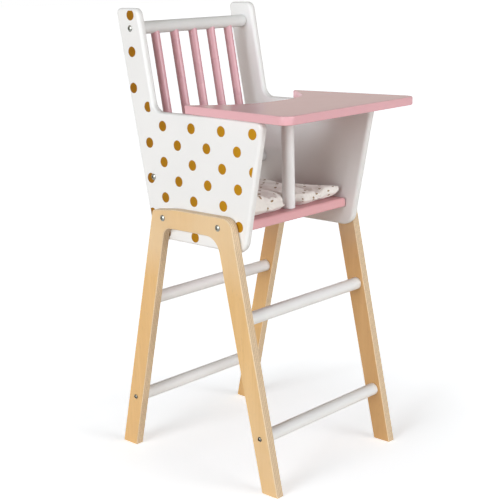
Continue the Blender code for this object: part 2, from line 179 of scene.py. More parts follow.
bpy.ops.mesh.primitive_circle_add(vertices=FLOOR_SIDES, radius=FLOOR_RADIUS, fill_type="NGON")
floor = bpy.context.object
floor.name = "floor"
floor_finish = bpy.data.materials.new("studio_floor")
floor_finish.use_nodes = True
ground = floor_finish.node_tree
ground_seen = background_rays(ground)
ground_shader = ground.nodes["Principled BSDF"]
ground_shader.inputs["Roughness"].default_value = FLOOR_ROUGHNESS
ground_shader.inputs["Specular IOR Level"].default_value = FLOOR_SHINE
feed(ground, mixed(ground, ground_seen, FLOOR_BOUNCE, FLOOR_COLOUR), ground_shader.inputs["Base Color"])
# Painted shadow: the glow that the camera sees drops in a soft round patch under the chair.
ground_away = add_node(ground, "VectorMath", operation="DISTANCE")
feed(ground, add_node(ground, "TexCoord").outputs["Object"], ground_away.inputs[0])
feed(ground, FLOOR_PAINTED_SHADOW_MIDDLE, ground_away.inputs[1])
ground_lift_with_painted_shadow = spread(
    ground, ground_away.outputs["Value"], *FLOOR_PAINTED_SHADOW_REACH, FLOOR_LIFT - FLOOR_PAINTED_SHADOW, FLOOR_LIFT,
    ease="SMOOTHSTEP")
ground_glow = add_node(ground, "Emission")
feed(ground, FLOOR_GLOW, ground_glow.inputs["Color"])
feed(ground, maths(ground, "MULTIPLY", ground_seen, ground_lift_with_painted_shadow), ground_glow.inputs["Strength"])
ground_sum = add_node(ground, "AddShader")
feed(ground, ground_shader.outputs[0], ground_sum.inputs[0])
feed(ground, ground_glow.outputs[0], ground_sum.inputs[1])
feed(ground, ground_sum.outputs[0], ground.nodes["Material Output"].inputs["Surface"])
floor.data.materials.append(floor_finish)


# The side panels: 10 mm board, each one arm at the front and a raked post at the back, bolted to
# the seat board. Sprayed satin white, with gold dots printed on the flat of the outer face only,
# so that the print stops a little inside the rounded edges.
WHITE = (0.84, 0.845, 0.845, 1)
WHITE_SHADE = (0.815, 0.82, 0.82, 1)
# The white of the sawn edges is darker as painted shade.
WHITE_EDGE_PAINTED_SHADE = (0.79, 0.795, 0.79, 1)
WHITE_ROUGHNESS = 0.36
GOLD_REAR = (0.275, 0.112, 0.004, 1)
GOLD_FRONT = (0.50, 0.245, 0.010, 1)
GOLD_METAL = 0.25
GOLD_SHINE = 0.05
DOT_RADIUS = 0.0066
DOT_TILT = 0.0085
DOT_STEP_Y = 0.02513
DOT_STEP_Z = 0.02222
DOT_START_Y = 0.11275
DOT_START_Z = 0.4330
DOT_RAGGED = 0.0001
DOT_SOFT = 0.0002
DOT_THICKNESS = 0.6
# The gold turns from its rear colour to its brighter front one between these two places along Y: painted
# light, the metal drawn as catching more light towards the front.
GOLD_PAINTED_LIGHT_RUN = (0.13, -0.08)
# The print keeps this far in from the edges, and a dot is left out if its middle is nearer than this.
PRINT_MARGIN = 0.0055
MIDDLE_MARGIN = 0.0050
PRINT_SOFT = 0.0001
# The straight edges of a panel: a height, the edge's y there, its lean, and the board's side of it.
FRONT_EDGE = (0.2905, -0.0709, -0.2151, 1)
BACK_EDGE = (0.2905, 0.0879, 0.1855, -1)
POST_EDGE = (0.4500, 0.0775, 0.1740, 1)
ARM_TOP = 0.450
# A face is flat where its normal points sideways by more than the first of these, and it is a sawn
# edge where it does so by less than the second.
FLAT_FACE = 0.995
SAWN_FACE = 0.9
PANEL_GRAIN = 0.25
PANEL_SQUEEZE = 0.06
PLAIN_SHINE = 0.5
PAINT_DEPTH = 0.00008
SAME_POINT = 0.000005


def deselect():
    bpy.ops.object.select_all(action="DESELECT")


def select(*things):
    """Select these objects alone, the last one active."""
    deselect()
    for thing in things:
        thing.select_set(True)
        bpy.context.view_layer.objects.active = thing


def merged_copy(node, name):
    """A new piece with a CAD node's shape: its loose triangles joined, so that it can be shaded smooth."""
    piece = bpy.data.objects.new(name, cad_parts[node].data.copy())
    scene.collection.objects.link(piece)
    piece.data.materials.clear()
    select(piece)
    bpy.ops.object.mode_set(mode="EDIT")
    bpy.ops.mesh.select_all(action="SELECT")
    bpy.ops.mesh.customdata_custom_splitnormals_clear()
    bpy.ops.mesh.remove_doubles(threshold=SAME_POINT)
    bpy.ops.object.mode_set(mode="OBJECT")
    return piece


def smooth_over(piece, angle=40):
    """Shade round stretches smooth and keep the flats flat."""
    select(piece)
    bpy.ops.object.shade_smooth_by_angle(angle=radians(angle))
    bpy.ops.object.modifier_add(type="WEIGHTED_NORMAL")
    piece.modifiers[-1].keep_sharp = True
    bpy.ops.object.modifier_apply(modifier=piece.modifiers[-1].name)


def finish(piece, material, node, body="chair"):
    """Give a piece its finish, the body that it rides on and the CAD node that it stands for."""
    piece.data.materials.clear()
    piece.data.materials.append(material)
    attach(piece, body)
    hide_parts(node)


def new_finish(name, roughness, coat=0.0, coat_roughness=0.1, metallic=0.0):
    """A material with a Principled shader, ready for its colour and bump."""
    material = bpy.data.materials.new(name)
    material.use_nodes = True
    shader = material.node_tree.nodes["Principled BSDF"]
    shader.inputs["Roughness"].default_value = roughness
    shader.inputs["Coat Weight"].default_value = coat
    shader.inputs["Coat Roughness"].default_value = coat_roughness
    shader.inputs["Metallic"].default_value = metallic
    return material, material.node_tree, shader


def bumped(tree, shader, height, distance, strength=1.0):
    """Feed a height in to the shader's normal."""
    bump = add_node(tree, "Bump")
    bump.inputs["Distance"].default_value = distance
    bump.inputs["Strength"].default_value = strength
    feed(tree, height, bump.inputs["Height"])
    feed(tree, bump.outputs[0], shader.inputs["Normal"])


def new_group(name, inputs, outputs):
    """A shader node group with named sockets, and the two nodes at its ends."""
    group = bpy.data.node_groups.new(name, "ShaderNodeTree")
    for sockets, way in ((inputs, "INPUT"), (outputs, "OUTPUT")):
        for label, kind in sockets.items():
            group.interface.new_socket(label, in_out=way, socket_type="NodeSocket" + kind)
    return group, group.nodes.new("NodeGroupInput"), group.nodes.new("NodeGroupOutput")


def noise(tree, place, scale, detail=3.0, rough=0.5):
    """Cloudy noise over a piece. The scale is about the number of clouds in a metre."""
    made = add_node(tree, "TexNoise")
    made.inputs["Scale"].default_value = scale
    made.inputs["Detail"].default_value = detail
    made.inputs["Roughness"].default_value = rough
    feed(tree, place, made.inputs["Vector"])
    return made.outputs["Fac"]


def mottled(tree, place, scale, detail, low=0.0, high=1.0):
    """Noise drawn out from its usual range to run from low to high."""
    return spread(tree, noise(tree, place, scale, detail), 0.3, 0.7, low, high)


def stretched(tree, along, squeeze):
    """Object coordinates drawn out along one axis, so that a noise in them runs with the grain."""
    shrink = add_node(tree, "Mapping")
    shrink.inputs["Scale"].default_value["XYZ".index(along)] = squeeze
    feed(tree, add_node(tree, "TexCoord").outputs["Object"], shrink.inputs["Vector"])
    return shrink.outputs[0]


def surface(tree):
    """Where a point of a piece lies, the same by axis, and the way that the piece faces there by axis."""
    source = add_node(tree, "TexCoord")
    at = add_node(tree, "SeparateXYZ")
    facing = add_node(tree, "SeparateXYZ")
    feed(tree, source.outputs["Object"], at.inputs[0])
    feed(tree, source.outputs["Normal"], facing.inputs[0])
    return source.outputs["Object"], at.outputs, facing.outputs


def facing_out(tree, at, facing):
    """1 on the side of a board that faces away from the chair's middle, -1 on the one that faces in."""
    return maths(tree, "MULTIPLY", facing["X"], maths(tree, "SIGN", at["X"]))


def paint_group():
    """A sprayed paint film on wood: cloudy tone, fine orange peel, and grain that still shows through."""
    group, start, end = new_group(
        "paint_film",
        {"Grain place": "Vector", "Grain": "Float"},
        {"Tone": "Float", "Rough": "Float", "Height": "Float"})
    place = add_node(group, "TexCoord").outputs["Object"]
    feed(group, mottled(group, place, 14, 4), end.inputs["Tone"])
    feed(group, mottled(group, place, 45, 5, -0.05, 0.06), end.inputs["Rough"])
    ridges = noise(group, start.outputs["Grain place"], 420, 3, 0.6)
    grain = maths(group, "MULTIPLY", ridges, start.outputs["Grain"])
    peel = maths(group, "MULTIPLY", noise(group, place, 620, 2), 0.35)
    feed(group, maths(group, "ADD", peel, grain), end.inputs["Height"])
    return group


paint_film = paint_group()


def painted(name, colour, shade, roughness, along, squeeze, grain, relief=0.5):
    """A painted finish: its colour, the same a little dirtied, the way that the wood under it runs and
    how far its grain is drawn out along that way, how much of the grain shows, and how rough it feels.
    """
    material, tree, shader = new_finish(name, roughness)
    film = add_node(tree, "Group", node_tree=paint_film)
    film.inputs["Grain"].default_value = grain
    feed(tree, stretched(tree, along, squeeze), film.inputs["Grain place"])
    feed(tree, mixed(tree, film.outputs["Tone"], shade, colour), shader.inputs["Base Color"])
    rough = maths(tree, "MULTIPLY_ADD", film.outputs["Rough"], relief, roughness)
    feed(tree, rough, shader.inputs["Roughness"])
    bumped(tree, shader, film.outputs["Height"], PAINT_DEPTH, relief)
    return material


def inside_edge(tree, y, z, edge):
    """How far a point lies inside a leaning straight edge of the panel."""
    height, start, lean, side = edge
    line = maths(tree, "MULTIPLY_ADD", z, lean, start - lean * height)
    return maths(tree, "MULTIPLY", maths(tree, "SUBTRACT", y, line), side / hypot(1, lean))


def in_print(tree, y, z, margin, edges):
    """1 where a point lies inside these edges by a margin, the arm's top and the post's front among them."""
    inside = maths(tree, "MAXIMUM", maths(tree, "SUBTRACT", ARM_TOP, z), inside_edge(tree, y, z, POST_EDGE))
    for edge in edges:
        inside = maths(tree, "MINIMUM", inside, inside_edge(tree, y, z, edge))
    return spread(tree, inside, margin - PRINT_SOFT, margin + PRINT_SOFT)


def nearest_dot(tree, at):
    """The way from a point to the middle of the nearest dot of the staggered rows, across and up."""
    column = maths(tree, "DIVIDE", maths(tree, "SUBTRACT", DOT_START_Y, at["Y"]), DOT_STEP_Y)
    level = maths(tree, "MULTIPLY_ADD", column, DOT_TILT * DOT_STEP_Y, DOT_START_Z)
    row = maths(tree, "DIVIDE", maths(tree, "SUBTRACT", level, at["Z"]), DOT_STEP_Z)
    # Half the sum and half the difference are whole numbers at the dots of staggered rows.
    rest = []
    for operation in ("ADD", "SUBTRACT"):
        half = maths(tree, "MULTIPLY", maths(tree, operation, column, row), 0.5)
        rest.append(maths(tree, "SUBTRACT", half, maths(tree, "ROUND", half)))
    across = maths(tree, "MULTIPLY", maths(tree, "ADD", *rest), DOT_STEP_Y)
    up = maths(tree, "MULTIPLY", maths(tree, "SUBTRACT", *rest), DOT_STEP_Z)
    return across, up


def dot_mask(tree, place, at, facing):
    """1 on the dots: on the flat of the outer face, clear of the edges, their middle on the board."""
    across, up = nearest_dot(tree, at)
    squares = maths(
        tree, "ADD", maths(tree, "MULTIPLY", across, across), maths(tree, "MULTIPLY", up, up))
    ragged = mottled(tree, place, 900, 2, -DOT_RAGGED, DOT_RAGGED)
    away = maths(tree, "ADD", maths(tree, "SQRT", squares), ragged)
    dot = spread(tree, away, DOT_RADIUS, DOT_RADIUS - DOT_SOFT)
    on_flat = maths(tree, "GREATER_THAN", facing_out(tree, at, facing), FLAT_FACE)
    clear = in_print(tree, at["Y"], at["Z"], PRINT_MARGIN, (FRONT_EDGE,))
    middle_y = maths(tree, "ADD", at["Y"], across)
    middle_z = maths(tree, "ADD", at["Z"], up)
    on_board = in_print(tree, middle_y, middle_z, MIDDLE_MARGIN, (BACK_EDGE,))
    printed = maths(tree, "MULTIPLY", maths(tree, "MULTIPLY", on_flat, clear), on_board)
    return maths(tree, "MULTIPLY", dot, printed)


def gold_ink(tree, place, at):
    """Gold ink: a little cloudy, full of fine flakes, and brighter towards the front as painted light."""
    # Painted light: the gold is drawn brighter towards the front.
    forward = spread(tree, at["Y"], *GOLD_PAINTED_LIGHT_RUN)
    cloudy = mottled(tree, place, 40, 4, -0.12, 0.12)
    flakes = spread(tree, noise(tree, place, 2600, 2), 0.35, 0.65, -0.10, 0.10)
    shine = maths(tree, "ADD", maths(tree, "ADD", forward, cloudy), flakes, clamp=True)
    return mixed(tree, shine, GOLD_REAR, GOLD_FRONT)


def panel_finish():
    """Satin white, darker on the sawn edges as painted shade, with the printed dots and their slight
    thickness.
    """
    material = painted(
        "panel_white_with_dots", WHITE, WHITE_SHADE, WHITE_ROUGHNESS, "Z", PANEL_SQUEEZE, PANEL_GRAIN)
    tree = material.node_tree
    shader = tree.nodes["Principled BSDF"]
    film, bump = tree.nodes["Group"], tree.nodes["Bump"]
    place, at, facing = surface(tree)
    # Painted shade: the sawn edges get the darker white.
    sawn = maths(tree, "LESS_THAN", maths(tree, "ABSOLUTE", facing["X"]), SAWN_FACE)
    white = mixed(tree, sawn, shader.inputs["Base Color"].links[0].from_socket, WHITE_EDGE_PAINTED_SHADE)
    dot = dot_mask(tree, place, at, facing)
    feed(tree, mixed(tree, dot, white, gold_ink(tree, place, at)), shader.inputs["Base Color"])
    feed(tree, maths(tree, "MULTIPLY", dot, GOLD_METAL), shader.inputs["Metallic"])
    shine = maths(tree, "SUBTRACT", PLAIN_SHINE, maths(tree, "MULTIPLY", dot, PLAIN_SHINE - GOLD_SHINE))
    feed(tree, shine, shader.inputs["Specular IOR Level"])
    height = maths(tree, "ADD", film.outputs["Height"], maths(tree, "MULTIPLY", dot, DOT_THICKNESS))
    feed(tree, height, bump.inputs["Height"])
    return material


panel_white = panel_finish()
for hand in ("left", "right"):
    panel = merged_copy("side_panel_" + hand, "panel_" + hand)
    smooth_over(panel)
    finish(panel, panel_white, "side_panel_" + hand)


# The leg frames: each is one arch sawn from 11.5 mm birch plywood, varnished clear and bolted to
# the outside of a panel. The faces show quiet upright grain, and the sawn edges the plies in turn.
PLY_FACE_LIGHT = (0.775, 0.508, 0.226, 1)
PLY_FACE_DEEP = (0.67, 0.408, 0.150, 1)
PLY_PALE = (0.77, 0.57, 0.34, 1)
PLY_LONG = (0.84, 0.655, 0.43, 1)
PLY_END = (0.66, 0.49, 0.31, 1)
PLY_GLUE = (0.30, 0.21, 0.13, 1)
# What the veneer's colour is multiplied by on the inner face, which is painted shade, and on the rear legs.
PLY_INNER_PAINTED_SHADE = (0.84, 0.77, 0.74, 1)
PLY_REAR = (1.0, 0.97, 0.93, 1)
PLY_COUNT = 9
PLY_WOBBLE = 0.00012
PLY_DEPTH = 0.00006
VARNISH = 0.25
VARNISH_ROUGHNESS = 0.25
EDGE_ROUGHNESS = 0.62
FACE_ROUGHNESS = 0.40
# Where the veneer's tone turns: from the rear legs to the front ones, down to the front feet, up
# into the arch, and up the inner face of a rear leg. On the inner face, the front legs and the upper rear
# legs get painted shade.
TO_FRONT_LEGS = (0.02, -0.06)
TO_FEET = (0.17, 0.05)
TO_ARCH = (0.240, 0.285)
TO_UPPER_PAINTED_SHADE = (0.15, 0.23)


def grain_group():
    """Sawn wood: wide soft figure, narrow streaks and short dark pores, all along one way."""
    group, start, end = new_group(
        "wood_grain",
        {"Long place": "Vector", "Short place": "Vector"},
        {"Figure": "Float", "Streaks": "Float", "Pores": "Float"})
    wide = noise(group, start.outputs["Long place"], 42, 4, 0.45)
    fine = noise(group, start.outputs["Long place"], 340, 4, 0.6)
    specks = noise(group, start.outputs["Short place"], 1100, 2, 0.5)
    feed(group, spread(group, wide, 0.32, 0.68), end.inputs["Figure"])
    feed(group, spread(group, fine, 0.3, 0.7), end.inputs["Streaks"])
    feed(group, spread(group, specks, 0.62, 0.72), end.inputs["Pores"])
    return group


wood_grain = grain_group()


def add_grain(tree, long_squeeze, short_squeeze):
    """The grain of a piece whose wood runs up and down."""
    grain = add_node(tree, "Group", node_tree=wood_grain)
    feed(tree, stretched(tree, "Z", long_squeeze), grain.inputs["Long place"])
    feed(tree, stretched(tree, "Z", short_squeeze), grain.inputs["Short place"])
    return grain.outputs


def veneer(tree, place, at, facing, grain):
    """The face: figured along the leg, paler in the arch and at the front feet, darker and redder on the
    inside as painted shade.
    """
    figure = maths(tree, "MULTIPLY", grain["Figure"], 0.6)
    figure = maths(tree, "ADD", figure, maths(tree, "MULTIPLY", grain["Streaks"], 0.4))
    face = mixed(tree, figure, PLY_FACE_DEEP, PLY_FACE_LIGHT)
    face = mixed(tree, maths(tree, "MULTIPLY", grain["Pores"], 0.25), face, PLY_GLUE)
    side = facing_out(tree, at, facing)
    in_front = spread(tree, at["Y"], *TO_FRONT_LEGS)
    face = mixed(tree, in_front, mixed(tree, 1.0, face, PLY_REAR, "MULTIPLY"), face)
    at_foot = maths(tree, "MULTIPLY", in_front, spread(tree, at["Z"], *TO_FEET, 0, 0.5))
    at_foot = maths(tree, "MULTIPLY", at_foot, maths(tree, "GREATER_THAN", side, 0))
    pale = maths(tree, "MAXIMUM", spread(tree, at["Z"], *TO_ARCH, 0, 0.75), at_foot)
    cloudy = spread(tree, noise(tree, place, 16, 3), 0.25, 0.55, 0.5, 1)
    face = mixed(tree, maths(tree, "MULTIPLY", pale, cloudy), face, PLY_PALE)
    # Painted shade: the inner face of the front legs and of the upper rear legs is drawn darker and redder.
    inner_painted_shade = maths(tree, "MAXIMUM", in_front, spread(tree, at["Z"], *TO_UPPER_PAINTED_SHADE))
    inner_painted_shade = maths(tree, "MULTIPLY", maths(tree, "LESS_THAN", side, 0), inner_painted_shade)
    return mixed(tree, inner_painted_shade, face, mixed(tree, 1.0, face, PLY_INNER_PAINTED_SHADE, "MULTIPLY"))


def sawn_plies(tree, place, at, end_grain):
    """The edge: plies whose grain runs along it or ends in it by turns, and the glue lines between."""
    inner, outer = (abs(corner.x) for corner in reversed(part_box("leg_frame_right")))
    depth = maths(tree, "SUBTRACT", maths(tree, "ABSOLUTE", at["X"]), inner)
    wobble = mottled(tree, place, 60, 3, -PLY_WOBBLE, PLY_WOBBLE)
    ply = maths(tree, "MULTIPLY", maths(tree, "ADD", depth, wobble), PLY_COUNT / (outer - inner))
    odd = maths(tree, "GREATER_THAN", maths(tree, "MODULO", ply, 2.0), 1.0)
    off_middle = maths(tree, "ABSOLUTE", maths(tree, "SUBTRACT", maths(tree, "FRACT", ply), 0.5))
    glue = spread(tree, off_middle, 0.43, 0.5)
    tone = mixed(tree, odd, PLY_LONG, PLY_END)
    tone = mixed(tree, spread(tree, end_grain, 0.35, 0.7, 0.0, 0.35), tone, PLY_GLUE)
    return mixed(tree, maths(tree, "MULTIPLY", glue, 0.7), tone, PLY_GLUE), glue


def plywood_finish():
    """Face veneer on the two broad sides, stacked plies on every sawn edge, under clear varnish."""
    material, tree, shader = new_finish("varnished_plywood", FACE_ROUGHNESS, VARNISH, VARNISH_ROUGHNESS)
    place, at, facing = surface(tree)
    grain = add_grain(tree, 0.035, 0.12)
    end_grain = noise(tree, place, 750, 3, 0.6)
    face = veneer(tree, place, at, facing, grain)
    plies, glue = sawn_plies(tree, place, at, end_grain)
    on_face = spread(tree, maths(tree, "ABSOLUTE", facing["X"]), 0.80, 0.90)
    feed(tree, mixed(tree, on_face, plies, face), shader.inputs["Base Color"])
    feed(tree, spread(tree, on_face, 0, 1, EDGE_ROUGHNESS, FACE_ROUGHNESS), shader.inputs["Roughness"])
    relief = add_node(tree, "Mix", data_type="FLOAT")
    feed(tree, on_face, relief.inputs[0])
    feed(tree, maths(tree, "SUBTRACT", end_grain, glue), relief.inputs[2])
    feed(tree, maths(tree, "SUBTRACT", grain["Streaks"], grain["Pores"]), relief.inputs[3])
    bumped(tree, shader, relief.outputs[0], PLY_DEPTH, 0.6)
    return material


plywood = plywood_finish()
for hand in ("left", "right"):
    legs = merged_copy("leg_frame_" + hand, "legs_" + hand)
    smooth_over(legs)
    finish(legs, plywood, "leg_frame_" + hand)


# The white dowels: 16 mm turned rods that tie the two sides together, and the crotch post that
# carries the tray. They are screwed or let in at their ends. The paint is thin on them, so the
# grain of the wood still runs along each one, most of all on the top rail and the post.
DOWEL_WHITE = (0.875, 0.89, 0.895, 1)
DOWEL_SHADE = (0.83, 0.845, 0.845, 1)
# The top rail's whites are darker than the other dowels': painted shade.
RAIL_WHITE_IN_PAINTED_SHADE = (0.72, 0.725, 0.715, 1)
RAIL_TONE_IN_PAINTED_SHADE = (0.67, 0.675, 0.665, 1)
DOWEL_ROUGHNESS = 0.30
RAIL_ROUGHNESS = 0.40
DOWEL_GRAIN = 0.5
RAIL_GRAIN = 0.9
ROD_SQUEEZE = 0.03
DOWEL_CHAMFER = 0.0006
DOWEL_SIDES = 64
SAME_HEIGHT = 0.000001


def turned_rod(name, radius, start, end, sides=DOWEL_SIDES):
    """A round rod between two points, its ends eased: stood upright, then tilted into place."""
    way = end - start
    deselect()
    bpy.ops.mesh.primitive_cylinder_add(
        vertices=sides, radius=radius, depth=way.length, end_fill_type="NGON", location=(0, 0, 0))
    piece = bpy.context.object
    piece.name = name
    bpy.ops.object.mode_set(mode="EDIT")
    bpy.ops.mesh.select_all(action="DESELECT")
    bpy.ops.object.mode_set(mode="OBJECT")
    for edge in piece.data.edges:
        heights = [piece.data.vertices[v].co.z for v in edge.vertices]
        edge.select = abs(heights[0] - heights[1]) < SAME_HEIGHT
    bpy.ops.object.mode_set(mode="EDIT")
    bpy.ops.mesh.bevel(offset=DOWEL_CHAMFER, segments=3)
    bpy.ops.object.mode_set(mode="OBJECT")
    tilt = way.to_track_quat("Z", "Y").to_matrix().to_4x4()
    piece.matrix_world = Matrix.Translation((start + end) / 2) @ tilt
    bpy.ops.object.transform_apply(location=True, rotation=True, scale=True)
    smooth_over(piece)
    return piece


def straight_rod(name, node, along):
    """The rod for a CAD node that lies along X or stands along Z."""
    low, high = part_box(node)
    axis = "XYZ".index(along)
    thickness = (high - low)[2 - axis]
    start, end = (low + high) / 2, (low + high) / 2
    start[axis], end[axis] = low[axis], high[axis]
    return turned_rod(name, thickness / 2, start, end)


dowel_white = painted(
    "dowel_white", DOWEL_WHITE, DOWEL_SHADE, DOWEL_ROUGHNESS, "X", ROD_SQUEEZE, DOWEL_GRAIN, relief=0.2)
rail_in_painted_shade = painted(
    "top_rail_in_painted_shade", RAIL_WHITE_IN_PAINTED_SHADE, RAIL_TONE_IN_PAINTED_SHADE, RAIL_ROUGHNESS, "X", ROD_SQUEEZE, RAIL_GRAIN)
post_white = painted(
    "post_white", DOWEL_WHITE, DOWEL_SHADE, RAIL_ROUGHNESS, "Z", ROD_SQUEEZE, RAIL_GRAIN)
finish(straight_rod("top_rail_dowel", "top_rail", "X"), rail_in_painted_shade, "top_rail")
for node in ("lower_back_rail", "stretcher_rear_upper", "stretcher_rear_lower",
             "stretcher_front_upper", "stretcher_front_lower"):
    finish(straight_rod(node + "_dowel", node, "X"), dowel_white, node)
finish(straight_rod("post_dowel", "crotch_post", "Z"), post_white, "crotch_post")


# The five pink spindles of the back: 11 mm rods let into the two back rails and leaning back
# with the posts. Gloss paint over wood, with the grain faintly showing along them.
SPINDLE_PINK = (0.70, 0.385, 0.43, 1)
SPINDLE_SHADE = (0.66, 0.355, 0.40, 1)
SPINDLE_ROUGHNESS = 0.28
SPINDLE_GRAIN = 0.4
SPINDLE_RADIUS = 0.0057
SPINDLE_SIDES = 48
SPINDLE_COUNT = 5


def end_point(node, upper):
    """The middle of one end of a leaning rod, from its CAD node's points."""
    points = np.array([corner.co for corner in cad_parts[node].data.vertices])
    middle = (points[:, 2].min() + points[:, 2].max()) / 2
    chosen = points[points[:, 2] > middle] if upper else points[points[:, 2] < middle]
    return Vector(np.unique(chosen.round(7), axis=0).mean(axis=0))


spindle_pink = painted(
    "spindle_pink", SPINDLE_PINK, SPINDLE_SHADE, SPINDLE_ROUGHNESS, "Z", ROD_SQUEEZE, SPINDLE_GRAIN)
for count in range(1, SPINDLE_COUNT + 1):
    node = f"back_spindle_{count}"
    foot, top = end_point(node, upper=False), end_point(node, upper=True)
    spindle = turned_rod(f"spindle_{count}", SPINDLE_RADIUS, foot, top, SPINDLE_SIDES)
    finish(spindle, spindle_pink, node)


# The seat board is bolted between the panels, and the tray is glued on pegs to the arms and the
# post. Both are board with the edges rounded over. Their pink lacquer lies almost flat, so the
# tray mirrors the pale room at a low angle.
PINK = (0.775, 0.42, 0.445, 1)
PINK_SHADE = (0.75, 0.395, 0.42, 1)
TRAY_PINK = (0.775, 0.435, 0.475, 1)
TRAY_SHADE = (0.75, 0.41, 0.45, 1)
LACQUER_ROUGHNESS = 0.24
LACQUER_SHINE = 0.38
LACQUER_GRAIN = 0.06
LACQUER_SQUEEZE = 0.10
LACQUER_RELIEF = 0.08


def lacquered(name, colour, shade):
    """Pink lacquer over board, with next to no grain left to see or feel."""
    material = painted(
        name, colour, shade, LACQUER_ROUGHNESS, "X", LACQUER_SQUEEZE, LACQUER_GRAIN, LACQUER_RELIEF)
    shader = material.node_tree.nodes["Principled BSDF"]
    shader.inputs["Specular IOR Level"].default_value = LACQUER_SHINE
    return material


seat = merged_copy("seat_board", "seat")
smooth_over(seat)
finish(seat, lacquered("seat_gloss", PINK, PINK_SHADE), "seat_board")
tray = merged_copy("tray", "tray_board")
smooth_over(tray)
finish(tray, lacquered("tray_gloss", TRAY_PINK, TRAY_SHADE), "tray")


# The pegs that hold the tray: plain beech dowel 4 mm thick, four in the arms and one in the post.
# Each is glued into both pieces, so that nothing of it shows.
BEECH_LIGHT = (0.76, 0.57, 0.36, 1)
BEECH_DEEP = (0.58, 0.40, 0.22, 1)
BEECH_ROUGHNESS = 0.6
BEECH_DEPTH = 0.00005
PEG_COUNT = 5


def peg_finish():
    """Bare beech, streaked along the peg."""
    material, tree, shader = new_finish("beech_peg", BEECH_ROUGHNESS)
    grain = add_grain(tree, 0.08, 0.2)
    feed(tree, mixed(tree, grain["Streaks"], BEECH_DEEP, BEECH_LIGHT), shader.inputs["Base Color"])
    bumped(tree, shader, grain["Streaks"], BEECH_DEPTH)
    return material


beech = peg_finish()
for count in range(1, PEG_COUNT + 1):
    peg = merged_copy(f"tray_peg_{count}", f"peg_{count}")
    smooth_over(peg)
    finish(peg, beech, f"tray_peg_{count}")


# The screws: nickel-plated steel, each a low domed head with a hexagon socket on a shank that
# goes through the board. The sockets are turned every way, as a hand leaves them. The four in the
# lower stretchers have smaller heads, and their darker plate is painted shade.
NICKEL_DARK = (0.23, 0.23, 0.20, 1)
NICKEL_BRIGHT = (0.32, 0.33, 0.31, 1)
# The darker plate of the four stretcher screws is painted shade.
PAINTED_SHADE_PLATE_DARK = (0.12, 0.115, 0.095, 1)
PAINTED_SHADE_PLATE_BRIGHT = (0.17, 0.165, 0.145, 1)
PLATE_ROUGHNESS = (0.20, 0.34)
HEAD_RADIUS = 0.0041
HEAD_HEIGHT = 0.0016
HEAD_FACETS = 48
HEAD_TURN = radians(23)
SMALL_HEAD = 0.78
SOCKET_RADIUS = 0.0021
SOCKET_DEPTH = 0.0013
SHANK_RADIUS = 0.0020
SHANK_SIDES = 24
SHANK_IN_HEAD = 0.0002


def screw_finish(name, dark, bright):
    """Plated steel, a little clouded by handling."""
    material, tree, shader = new_finish(name, PLATE_ROUGHNESS[0], metallic=1.0)
    place = add_node(tree, "TexCoord").outputs["Object"]
    feed(tree, mixed(tree, noise(tree, place, 300, 4), dark, bright), shader.inputs["Base Color"])
    feed(tree, mottled(tree, place, 900, 3, *PLATE_ROUGHNESS), shader.inputs["Roughness"])
    return material


def screw_head():
    """A cap cut off a ball, with a hexagon cut in to its top. It points up, with its rim at z = 0."""
    ball = (HEAD_RADIUS ** 2 + HEAD_HEIGHT ** 2) / (2 * HEAD_HEIGHT)
    deselect()
    bpy.ops.mesh.primitive_uv_sphere_add(
        segments=HEAD_FACETS, ring_count=HEAD_FACETS, radius=ball, location=(0, 0, HEAD_HEIGHT - ball))
    head = bpy.context.object
    bpy.ops.object.transform_apply(location=True, rotation=True, scale=True)
    bpy.ops.object.mode_set(mode="EDIT")
    bpy.ops.mesh.select_all(action="SELECT")
    bpy.ops.mesh.bisect(plane_co=(0, 0, 0), plane_no=(0, 0, 1), clear_inner=True, use_fill=True)
    bpy.ops.object.mode_set(mode="OBJECT")
    deselect()
    bpy.ops.mesh.primitive_cylinder_add(
        vertices=6, radius=SOCKET_RADIUS, depth=2 * SOCKET_DEPTH, location=(0, 0, HEAD_HEIGHT))
    socket = bpy.context.object
    select(head)
    bpy.ops.object.modifier_add(type="BOOLEAN")
    head.modifiers[-1].object = socket
    head.modifiers[-1].solver = "EXACT"
    bpy.ops.object.modifier_apply(modifier=head.modifiers[-1].name)
    bpy.data.objects.remove(socket)
    return head


def screw_shank(length):
    """The plain shank of a screw of this length, from inside its head, at z = 0, down to its tip."""
    deselect()
    depth = length - HEAD_HEIGHT + SHANK_IN_HEAD
    bpy.ops.mesh.primitive_cylinder_add(
        vertices=SHANK_SIDES, radius=SHANK_RADIUS, depth=depth, location=(0, 0, SHANK_IN_HEAD - depth / 2))
    shank = bpy.context.object
    bpy.ops.object.transform_apply(location=True, rotation=True, scale=True)
    return shank


def screw_place(node):
    """The crown of a screw's head, the way that it faces, and how long the whole screw is."""
    low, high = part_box(node)
    if node == "post_screw":
        crown = Vector(((low.x + high.x) / 2, (low.y + high.y) / 2, low.z))
        return crown, Vector((0, 0, -1)), high.z - low.z
    outer = high.x if high.x > -low.x else low.x
    crown = Vector((outer, (low.y + high.y) / 2, (low.z + high.z) / 2))
    return crown, Vector((outer, 0, 0)).normalized(), high.x - low.x


